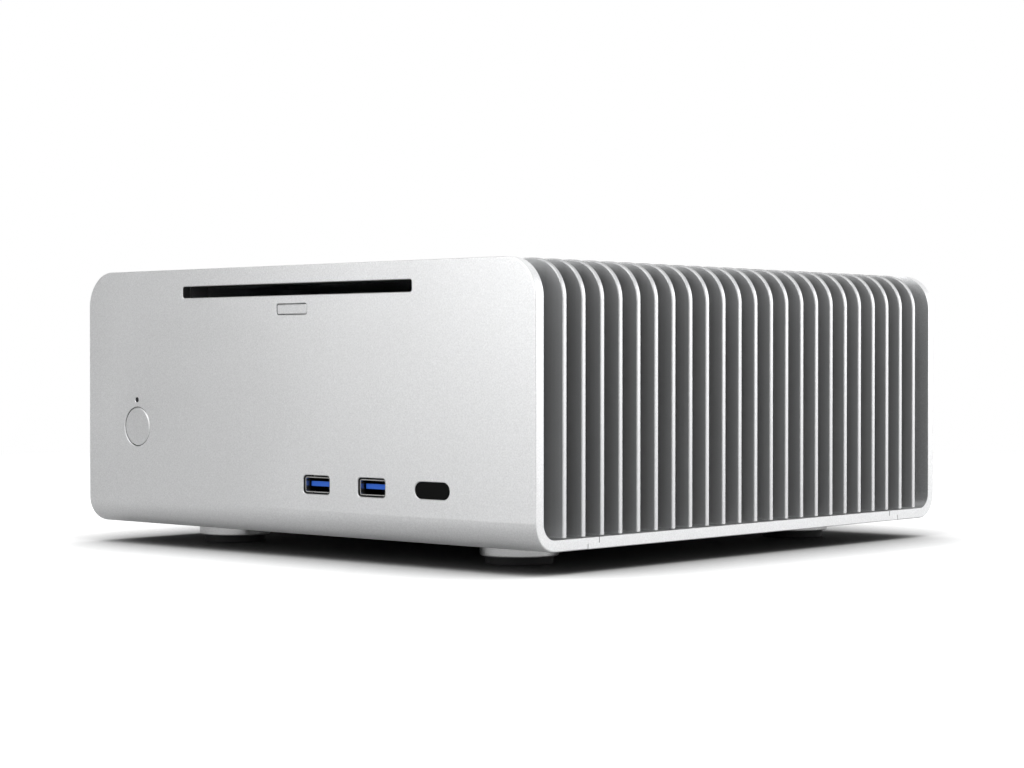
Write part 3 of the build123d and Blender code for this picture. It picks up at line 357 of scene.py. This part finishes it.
def plasticMaterial(name, look):
    # Moulded grain with slightly lighter, smoother edges
    material, tree, shader = startMaterial(name)
    grain = useGroup(tree, blastGrain, (-700, 200), Scale=look["grainScale"],
                     Contrast=look["grainContrast"])
    edgeMask = useGroup(tree, wearAndHighlightEdges, (-700, -100), Radius=look["edgeMaskRadius"],
                    Breakup=look["edgeMaskBreakup"])
    cloud = useGroup(tree, slowCloud, (-700, -350), Scale=look["cloudScale"],
                     Low=look["roughness"] - look["roughnessSpread"],
                     High=look["roughness"] + look["roughnessSpread"])
    body = scaleColour(tree, (-250, 200), look["colour"],
                       shadeTone(tree, grain.outputs["Tone"], look))
    faded = mathNode(tree, "MULTIPLY", (-250, -50), edgeMask.outputs["Mask"], look["wearAndHighlightAmount"])
    tree.links.new(mixColour(tree, (0, 150), faded, body, look["wornAndHighlightColour"]),
                   shader.inputs["Base Color"])
    tree.links.new(cloud.outputs["Value"], shader.inputs["Roughness"])
    shader.inputs["Specular IOR Level"].default_value = look["specular"]
    addBump(tree, shader, grain.outputs["Height"], look["bump"], look["bumpDepth"])
    return material


def boardMaterial(name, look):
    # Glossy solder mask over copper tracks, with tinned pads
    material, tree, shader = startMaterial(name)
    tracks = useGroup(tree, boardTracks, (-700, 200), Scale=look["trackScale"])
    grain = useGroup(tree, blastGrain, (-700, -100), Scale=look["grainScale"],
                     Contrast=look["grainContrast"])
    mask = mixColour(tree, (-300, 200), tracks.outputs["Tracks"], look["colour"],
                     look["trackColour"])
    toned = scaleColour(tree, (-100, 200), mask, grain.outputs["Tone"])
    tree.links.new(mixColour(tree, (150, 200), tracks.outputs["Pads"], toned, look["padColour"]),
                   shader.inputs["Base Color"])
    tree.links.new(mapRange(tree, (150, -50), tracks.outputs["Pads"], 0.0, 1.0,
                            look["maskRoughness"], look["padRoughness"]),
                   shader.inputs["Roughness"])
    shader.inputs["Coat Weight"].default_value = look["coat"]
    shader.inputs["Coat Roughness"].default_value = look["coatRoughness"]
    addBump(tree, shader, tracks.outputs["Tracks"], look["bump"], look["bumpDepth"])
    return material


metalBase = {
    "metallic": 0.9, "colour": (0.80, 0.805, 0.81), "wornAndHighlightColour": (0.93, 0.93, 0.93),
    "wearAndHighlightAmount": 0.5, "wearPolish": 0.12, "edgeMaskRadius": 0.0005, "edgeMaskBreakup": 350.0,
    "roughness": 0.42, "roughnessSpread": 0.02,
    "cloudScale": 14.0, "grainScale": 2400.0, "grainContrast": 0.25, "streakScale": 900.0,
    "streakStretch": (1.0, 1.0, 0.02), "streakContrast": 0.02, "streakDepth": 0.0,
    "bump": 0.12, "bumpDepth": 0.00012,
}
metalLooks = {
    # Painted shade on the cut walls of the panel openings; the lighter edges are partly painted
    # highlight
    "blastedShell": {"grainScale": 1900.0, "grainContrast": 0.32, "openings": 0.80,
                     "wearAndHighlightAmount": 0.12, "bump": 0.08},
    # Painted shade towards the fin roots, lighter towards the tips, and a painted highlight on the
    # tips from the edge colour
    "satinFins": {"depth": ((1.0, 0.0, 0.0), 0.112, 0.1193, 0.66, 1.14), "metallic": 0.8,
                  "colour": (0.60, 0.605, 0.61), "wearAndHighlightAmount": 1.0, "edgeMaskRadius": 0.0009,
                  "grainScale": 3200.0, "grainContrast": 0.16, "streakContrast": 0.10,
                  "streakDepth": 0.4, "bump": 0.10, "roughness": 0.40},
    # Painted shade on the button's side walls; the lighter chamfer is partly painted highlight
    "blastedButton": {"openings": 0.85, "grainScale": 1900.0, "grainContrast": 0.3,
                      "colour": (0.82, 0.825, 0.83), "roughness": 0.38, "wearAndHighlightAmount": 0.3},
    "turnedFoot": {"colour": (0.72, 0.72, 0.725), "roughness": 0.17, "streakScale": 2600.0,
                   "streakStretch": (0.02, 0.02, 1.0), "streakContrast": 0.12,
                   "grainContrast": 0.08},
    "zincSheet": {"colour": (0.60, 0.61, 0.63), "roughness": 0.34, "roughnessSpread": 0.08,
                  "cloudScale": 90.0, "streakStretch": (0.03, 1.0, 1.0), "streakContrast": 0.10,
                  "grainScale": 1200.0, "grainContrast": 0.10, "bump": 0.06},
    "zincScrew": {"colour": (0.42, 0.43, 0.45), "roughness": 0.26, "grainContrast": 0.12,
                  "grainScale": 4000.0, "bump": 0.08},
    # Painted shade, darker deeper inside the port shells
    "nickelShell": {"depth": ((0.0, 1.0, 0.0), 0.1215, 0.1241, 0.02, 0.62),
                    "colour": (0.72, 0.71, 0.69), "roughness": 0.20, "grainContrast": 0.06,
                    "streakStretch": (1.0, 0.03, 1.0), "streakContrast": 0.08, "bump": 0.04},
    "nickelCap": {"colour": (0.70, 0.70, 0.69), "roughness": 0.28, "grainContrast": 0.08,
                  "bump": 0.05},
    "drawnCopper": {"colour": (0.75, 0.36, 0.20), "wornAndHighlightColour": (0.90, 0.55, 0.38),
                    "roughness": 0.30, "roughnessSpread": 0.08, "cloudScale": 60.0,
                    "streakStretch": (0.03, 1.0, 1.0), "streakContrast": 0.14, "bump": 0.08},
    "turnedBrass": {"colour": (0.74, 0.56, 0.26), "wornAndHighlightColour": (0.90, 0.76, 0.45),
                    "roughness": 0.25, "grainContrast": 0.06, "bump": 0.05},
    "darkAnodised": {"colour": (0.16, 0.165, 0.175), "wornAndHighlightColour": (0.45, 0.45, 0.46),
                     "roughness": 0.42, "streakContrast": 0.08, "bump": 0.08},
}
plasticBase = {
    "specular": 0.4, "edgeMaskRadius": 0.0003, "edgeMaskBreakup": 600.0, "wearAndHighlightAmount": 0.35,
    "cloudScale": 40.0, "roughnessSpread": 0.05, "bumpDepth": 0.0002,
}
plasticLooks = {
    "blackPlastic": {"colour": (0.024, 0.024, 0.026), "wornAndHighlightColour": (0.05, 0.05, 0.055),
                     "grainScale": 1800.0, "grainContrast": 0.5, "roughness": 0.5, "bump": 0.25},
    "padRubber": {"colour": (0.012, 0.012, 0.013), "wornAndHighlightColour": (0.035, 0.035, 0.035),
                  "grainScale": 1500.0, "grainContrast": 0.6, "roughness": 0.75, "bump": 0.4},
    # Painted shade, darker deeper along the port tongues
    "blueInsulator": {"depth": ((0.0, 1.0, 0.0), 0.1208, 0.1219, 0.01, 1.0),
                      "colour": (0.018, 0.11, 0.55), "wornAndHighlightColour": (0.05, 0.22, 0.72),
                      "grainScale": 2500.0, "grainContrast": 0.2, "roughness": 0.38, "bump": 0.08},
    "darkWindow": {"specular": 0.05, "colour": (0.004, 0.004, 0.004),
                   "wornAndHighlightColour": (0.02, 0.02, 0.022), "grainScale": 3000.0,
                   "grainContrast": 0.1, "roughness": 0.12, "bump": 0.01},
    "smokedPipe": {"specular": 0.15, "colour": (0.03, 0.03, 0.033),
                   "wornAndHighlightColour": (0.05, 0.05, 0.055), "grainScale": 2000.0,
                   "grainContrast": 0.1, "roughness": 0.2, "bump": 0.03},
    "guidePlastic": {"colour": (0.09, 0.09, 0.095), "wornAndHighlightColour": (0.14, 0.14, 0.145),
                     "grainScale": 1500.0, "grainContrast": 0.3, "roughness": 0.6, "bump": 0.1},
    "chipEpoxy": {"colour": (0.018, 0.018, 0.02), "wornAndHighlightColour": (0.06, 0.06, 0.065),
                  "grainScale": 2600.0, "grainContrast": 0.3, "roughness": 0.55, "bump": 0.1},
    "chokeFerrite": {"colour": (0.07, 0.07, 0.072), "wornAndHighlightColour": (0.16, 0.16, 0.165),
                     "grainScale": 2400.0, "grainContrast": 0.4, "roughness": 0.5, "bump": 0.15},
    "labelPaper": {"colour": (0.80, 0.80, 0.78), "wornAndHighlightColour": (0.88, 0.88, 0.87),
                   "grainScale": 900.0, "grainContrast": 0.1, "roughness": 0.6, "bump": 0.05},
    "socketPlastic": {"colour": (0.035, 0.036, 0.04), "wornAndHighlightColour": (0.08, 0.08, 0.085),
                      "grainScale": 2200.0, "grainContrast": 0.3, "roughness": 0.45, "bump": 0.12},
    "naturalNylon": {"colour": (0.72, 0.70, 0.64), "wornAndHighlightColour": (0.85, 0.84, 0.80),
                     "grainScale": 1800.0, "grainContrast": 0.1, "roughness": 0.45, "bump": 0.1},
}
jackColours = {
    "jackPink": {"colour": (0.62, 0.16, 0.26), "wornAndHighlightColour": (0.75, 0.3, 0.4)},
    "jackGreen": {"colour": (0.16, 0.46, 0.12), "wornAndHighlightColour": (0.3, 0.6, 0.25)},
    "jackBlue": {"colour": (0.10, 0.30, 0.62), "wornAndHighlightColour": (0.25, 0.45, 0.75)},
}
for name, colours in jackColours.items():
    plasticLooks[name] = {"grainScale": 2200.0, "grainContrast": 0.15, "roughness": 0.4,
                          "bump": 0.08, **colours}
boardBase = {
    "grainScale": 3000.0, "grainContrast": 0.15, "maskRoughness": 0.38, "padRoughness": 0.25,
    "coat": 0.4, "coatRoughness": 0.15, "bump": 0.35, "bumpDepth": 0.00005,
}
boardLooks = {
    "greenBoard": {"colour": (0.008, 0.05, 0.022), "trackColour": (0.02, 0.10, 0.045),
                   "padColour": (0.55, 0.52, 0.42), "trackScale": 130.0},
    "smallBoard": {"colour": (0.008, 0.012, 0.018), "trackColour": (0.02, 0.03, 0.04),
                   "padColour": (0.55, 0.50, 0.35), "trackScale": 380.0},
}
materials = {}
for name, changes in metalLooks.items():
    materials[name] = metalMaterial(name, {**metalBase, **changes})
for name, look in plasticLooks.items():
    materials[name] = plasticMaterial(name, {**plasticBase, **look})
for name, look in boardLooks.items():
    materials[name] = boardMaterial(name, {**boardBase, **look})
print("materials made:", len(materials))


nodeFinish = {
    "blastedShell": ["front_panel", "rear_panel", "base_plate", "top_cover"],
    "satinFins": ["heatsink_left", "heatsink_right"],
    "blastedButton": ["power_button", "eject_button"],
    "turnedFoot": ["foot_rings", "corner_brackets", "pipe_bars", "heat_block_cap"],
    "zincSheet": ["drive_case", "drive_lid", "drive_chassis", "drive_motor", "drive_carrier",
                  "io_shield"],
    "zincScrew": ["pan_screws", "flat_screws", "foot_screws", "block_screws", "bar_screws",
                  "drive_rails"],
    "nickelShell": ["usb_shells", "rear_port_shells"],
    "nickelCap": ["processor", "dc_pin"],
    "drawnCopper": ["heat_pipes", "heat_block"],
    "turnedBrass": ["cover_studs", "board_posts", "board_standoffs"],
    "darkAnodised": ["chipset_heatsink", "board_capacitors", "storage_drive"],
    "guidePlastic": ["disc_guide"],
    "blackPlastic": ["power_switch", "eject_switch", "ir_receiver",
                     "rear_audio_ports", "dc_inlet"],
    "padRubber": ["foot_pads", "drive_roller"],
    "blueInsulator": ["usb_tongues", "rear_tongues"],
    "darkWindow": ["ir_window"],
    "smokedPipe": ["power_light_pipe"],
    "socketPlastic": ["cpu_socket", "memory_slots", "drive_hub", "drive_sled"],
    "naturalNylon": ["cover_clips", "memory_latch_left", "memory_latch_right"],
    "greenBoard": ["main_board"],
    "smallBoard": ["port_board", "power_board", "eject_board", "memory_modules"],
}
for finish, names in nodeFinish.items():
    for name in names:
        nodes[name].data.materials.clear()
        nodes[name].data.materials.append(materials[finish])
print("CAD nodes finished:", sum(len(names) for names in nodeFinish.values()))


# Small pieces that sit on the CAD parts

def addSlab(bm, middle, size, edge):
    # A block standing on its middle point, its edges slightly broken
    x, y, z = middle
    width, depth, height = size
    place = Matrix.Translation((x, y, z + height / 2))
    stretch = Matrix.Diagonal((width, depth, height, 1.0))
    made = bmesh.ops.create_cube(bm, size=1.0, matrix=place @ stretch)
    edges = {line for corner in made["verts"] for line in corner.link_edges}
    bmesh.ops.bevel(bm, geom=list(edges), offset=edge, offset_type="OFFSET", affect="EDGES",
                    segments=2, profile=0.5, material=-1, clamp_overlap=True)


def addDisc(bm, middle, radius, height, edge):
    made = bmesh.ops.create_cone(bm, cap_ends=True, segments=64, radius1=radius,
                                 radius2=radius, depth=height,
                                 matrix=Matrix.Translation(middle + Vector((0, 0, height / 2))))
    rims = {line for corner in made["verts"] for line in corner.link_edges
            if abs(line.verts[0].co.z - line.verts[1].co.z) < 1e-6}
    bmesh.ops.bevel(bm, geom=list(rims), offset=edge, offset_type="OFFSET", affect="EDGES",
                    segments=2, profile=0.5, material=-1, clamp_overlap=True)


def finishPiece(bm, name, finish, body):
    bmesh.ops.recalc_face_normals(bm, faces=bm.faces)
    mesh = bpy.data.meshes.new(name)
    bm.to_mesh(mesh)
    bm.free()
    piece = bpy.data.objects.new(name, mesh)
    bpy.context.scene.collection.objects.link(piece)
    mesh.materials.append(materials[finish])
    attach(piece, body)


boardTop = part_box("main_board")[1].z

boardChips = {
    "edge": 0.00015,
    "places": [((-0.035, 0.030), (0.009, 0.009, 0.0012)),
               ((0.052, 0.058), (0.010, 0.010, 0.0012)),
               ((0.006, -0.030), (0.014, 0.010, 0.0014)),
               ((0.070, 0.022), (0.006, 0.012, 0.0012)),
               ((-0.020, 0.094), (0.009, 0.009, 0.0012)),
               ((0.046, 0.094), (0.007, 0.007, 0.0010)),
               ((-0.078, 0.060), (0.006, 0.009, 0.0012)),
               ((0.045, 0.030), (0.005, 0.005, 0.0009)),
               ((0.020, 0.092), (0.005, 0.008, 0.0010)),
               ((-0.038, 0.008), (0.005, 0.008, 0.0010))],
}
bm = bmesh.new()
for (x, y), size in boardChips["places"]:
    addSlab(bm, (x, y, boardTop), size, boardChips["edge"])
finishPiece(bm, "boardChips", "chipEpoxy", "case")

powerChokes = {"count": 6, "size": (0.0068, 0.0068, 0.0040), "pitch": 0.012408,
               "inset": 0.0034, "back": 0.0080, "edge": 0.0004}
capsLow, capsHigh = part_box("board_capacitors")
bm = bmesh.new()
for index in range(powerChokes["count"]):
    x = capsLow.x + powerChokes["inset"] + index * powerChokes["pitch"]
    addSlab(bm, (x, capsHigh.y + powerChokes["back"], boardTop), powerChokes["size"],
            powerChokes["edge"])
finishPiece(bm, "powerChokes", "chokeFerrite", "case")

coinCell = {"middle": (-0.030, -0.030), "holderSize": (0.0215, 0.0215, 0.0016),
            "radius": 0.010, "height": 0.0032, "edge": 0.0003}
bm = bmesh.new()
addSlab(bm, (*coinCell["middle"], boardTop), coinCell["holderSize"], coinCell["edge"])
finishPiece(bm, "cellHolder", "chipEpoxy", "case")
bm = bmesh.new()
cellFoot = Vector((*coinCell["middle"], boardTop + coinCell["holderSize"][2]))
addDisc(bm, cellFoot, coinCell["radius"], coinCell["height"], coinCell["edge"])
finishPiece(bm, "coinCell", "nickelCap", "case")

pinHeaders = {
    "pitch": 0.00254, "baseHeight": 0.0025, "pinLength": 0.0060, "pinSide": 0.00064,
    "edge": 0.0001,
    "places": [((-0.046, -0.046), 5), ((-0.010, -0.046), 9), ((0.020, -0.046), 4),
               ((0.078, -0.010), 1)],
}
bm = bmesh.new()
pins = bmesh.new()
for (x, y), columns in pinHeaders["places"]:
    pitch = pinHeaders["pitch"]
    addSlab(bm, (x, y, boardTop), (columns * pitch, 2 * pitch, pinHeaders["baseHeight"]),
            pinHeaders["edge"])
    for column in range(columns):
        for row in (-0.5, 0.5):
            spot = (x + (column - (columns - 1) / 2) * pitch, y + row * pitch,
                    boardTop + pinHeaders["baseHeight"])
            addSlab(pins, spot, (pinHeaders["pinSide"], pinHeaders["pinSide"],
                                 pinHeaders["pinLength"]), pinHeaders["edge"])
finishPiece(bm, "headerBases", "chipEpoxy", "case")
finishPiece(pins, "headerPins", "turnedBrass", "case")

jackRings = {"outer": 0.0034, "inner": 0.0021, "depth": 0.0008, "setBack": 0.0001,
             "segments": 64, "finishes": ("jackPink", "jackGreen", "jackBlue")}
jacksLow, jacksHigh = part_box("rear_audio_ports")
jackStep = (jacksHigh.z - jacksLow.z) / len(jackRings["finishes"])
for index, finish in enumerate(jackRings["finishes"]):
    x = (jacksLow.x + jacksHigh.x) / 2
    z = jacksLow.z + (index + 0.5) * jackStep
    back = jacksHigh.y - jackRings["setBack"]
    bm = bmesh.new()
    corners = [bm.verts.new((x + radius, y, z))
               for radius, y in ((jackRings["inner"], back), (jackRings["outer"], back),
                                 (jackRings["outer"], back - jackRings["depth"]),
                                 (jackRings["inner"], back - jackRings["depth"]))]
    profile = [bm.edges.new((corners[k], corners[(k + 1) % 4])) for k in range(4)]
    bmesh.ops.spin(bm, geom=corners + profile, cent=(x, 0, z), axis=(0, 1, 0),
                   angle=radians(360), steps=jackRings["segments"], use_merge=True)
    finishPiece(bm, "jackRing" + finish[4:], finish, "case")

driveLabel = {"size": (0.056, 0.011, 0.0001), "front": 0.0095, "edge": 0.00002}
lidLow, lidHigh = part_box("drive_lid")
bm = bmesh.new()
addSlab(bm, ((lidLow.x + lidHigh.x) / 2, lidHigh.y - driveLabel["front"], lidHigh.z),
        driveLabel["size"], driveLabel["edge"])
finishPiece(bm, "driveLabel", "labelPaper", "case")
print("small pieces added")


# Floor, lights and camera

studio = {
    "floorReach": 6.0, "paperBounce": 0.42, "paperSeen": 1.15,
    "shadowReach": 0.066, "shadowDepth": 0.05, "shadowLow": 0.22, "shadowHigh": 0.95,
    "fadeStart": 0.42, "fadeEnd": 0.95,
    "backdrop": (1.0, 1.0, 1.0),
    "dimSide": (-0.72, -0.69, 0.0), "dimLevel": 0.0, "roomLevel": 0.92,
    "dimStart": 0.15, "dimEnd": 0.85,
}
lights = {
    "frontSoftbox": {"at": (-0.24, -1.10, 0.48), "size": (1.0, 0.72), "power": 8.4},
    "rearSoftbox": {"at": (0.95, 0.95, 0.35), "size": (1.0, 0.7), "power": 3.9},
    "topSoftbox": {"at": (0.1, -0.1, 1.5), "size": (1.6, 1.6), "power": 9.0},
}


def makeFloor():
    bm = bmesh.new()
    bmesh.ops.create_circle(bm, cap_ends=True, radius=studio["floorReach"], segments=96)
    mesh = bpy.data.meshes.new("studioFloor")
    bm.to_mesh(mesh)
    bm.free()
    floor = bpy.data.objects.new("studioFloor", mesh)
    bpy.context.scene.collection.objects.link(floor)
    material, tree, shader = startMaterial("palePaper")
    shader.inputs["Roughness"].default_value = 0.9
    shader.inputs["Specular IOR Level"].default_value = 0.05
    # Painted contact shadow: the paper's colour darkens where the object crowds it; the camera
    # sees it whiter than the metal does
    path = addNode(tree, "ShaderNodeLightPath", (-900, 300))
    occlusion = addNode(tree, "ShaderNodeAmbientOcclusion", (-900, 0), samples=12)
    occlusion.inputs["Distance"].default_value = studio["shadowReach"]
    seen = mapRange(tree, (-650, 0), occlusion.outputs["AO"], studio["shadowLow"],
                    studio["shadowHigh"], studio["shadowDepth"], studio["paperSeen"])
    level = mapRange(tree, (-400, 300), path.outputs["Is Camera Ray"], 0.0, 1.0,
                     studio["paperBounce"], seen)
    paper = scaleColour(tree, (-200, 200), studio["backdrop"], level)
    tree.links.new(paper, shader.inputs["Base Color"])
    # Far from the object the paper fades into the backdrop
    coords = addNode(tree, "ShaderNodeTexCoord", (-900, -300))
    span = addNode(tree, "ShaderNodeVectorMath", (-650, -300), operation="LENGTH")
    tree.links.new(coords.outputs["Object"], span.inputs[0])
    far = mapRange(tree, (-400, -300), span.outputs["Value"], studio["fadeStart"],
                   studio["fadeEnd"], 0.0, 1.0)
    fade = mathNode(tree, "MULTIPLY", (-200, -300), far, path.outputs["Is Camera Ray"])
    glow = addNode(tree, "ShaderNodeEmission", (500, -300))
    glow.inputs["Color"].default_value = (*studio["backdrop"], 1.0)
    mix = addNode(tree, "ShaderNodeMixShader", (800, 0))
    output = tree.nodes["Material Output"]
    output.location = (1000, 0)
    tree.links.new(fade, mix.inputs[0])
    tree.links.new(shader.outputs[0], mix.inputs[1])
    tree.links.new(glow.outputs[0], mix.inputs[2])
    tree.links.new(mix.outputs[0], output.inputs["Surface"])
    mesh.materials.append(material)


def makeWorld():
    # Even studio walls, dimmer on one side, against a white backdrop
    world = bpy.data.worlds.new("studioWorld")
    world.use_nodes = True
    tree = world.node_tree
    back = tree.nodes["Background"]
    coords = addNode(tree, "ShaderNodeTexCoord", (-900, 0))
    dot = addNode(tree, "ShaderNodeVectorMath", (-700, 0), operation="DOT_PRODUCT")
    dot.inputs[1].default_value = studio["dimSide"]
    tree.links.new(coords.outputs["Generated"], dot.inputs[0])
    room = mapRange(tree, (-500, 0), dot.outputs["Value"], studio["dimStart"],
                    studio["dimEnd"], studio["roomLevel"], studio["dimLevel"])
    path = addNode(tree, "ShaderNodeLightPath", (-700, 300))
    level = addNode(tree, "ShaderNodeMix", (-300, 100), data_type="FLOAT")
    tree.links.new(path.outputs["Is Camera Ray"], level.inputs[0])
    tree.links.new(room, level.inputs[2])
    level.inputs[3].default_value = 1.0
    tree.links.new(scaleColour(tree, (-100, 100), studio["backdrop"], level.outputs[0]),
                   back.inputs["Color"])
    bpy.context.scene.world = world


def makeLights():
    middle = (cadLow + cadHigh) / 2
    for name, look in lights.items():
        data = bpy.data.lights.new(name, "AREA")
        data.shape = "RECTANGLE"
        data.size, data.size_y = look["size"]
        data.energy = look["power"]
        light = bpy.data.objects.new(name, data)
        light.location = look["at"]
        aim = middle - light.location
        light.rotation_euler = aim.to_track_quat("-Z", "Y").to_euler()
        bpy.context.scene.collection.objects.link(light)


cameraLook = {"lens": 79.95, "sensor": 36.0, "at": (0.6209, -0.6945, 0.0723),
              "turn": 41.93, "tilt": 89.441}


def makeCamera():
    data = bpy.data.cameras.new("productCamera")
    data.lens = cameraLook["lens"]
    data.sensor_width = cameraLook["sensor"]
    camera = bpy.data.objects.new("productCamera", data)
    camera.location = cameraLook["at"]
    turn = Matrix.Rotation(radians(cameraLook["turn"]), 4, "Z")
    tilt = Matrix.Rotation(radians(cameraLook["tilt"]), 4, "X")
    camera.rotation_euler = (turn @ tilt).to_euler()
    bpy.context.scene.collection.objects.link(camera)
    bpy.context.scene.camera = camera


makeFloor()
makeWorld()
makeLights()
makeCamera()
bpy.context.scene.view_settings.view_transform = "Standard"
print("studio made")

bpy.context.view_layer.update()
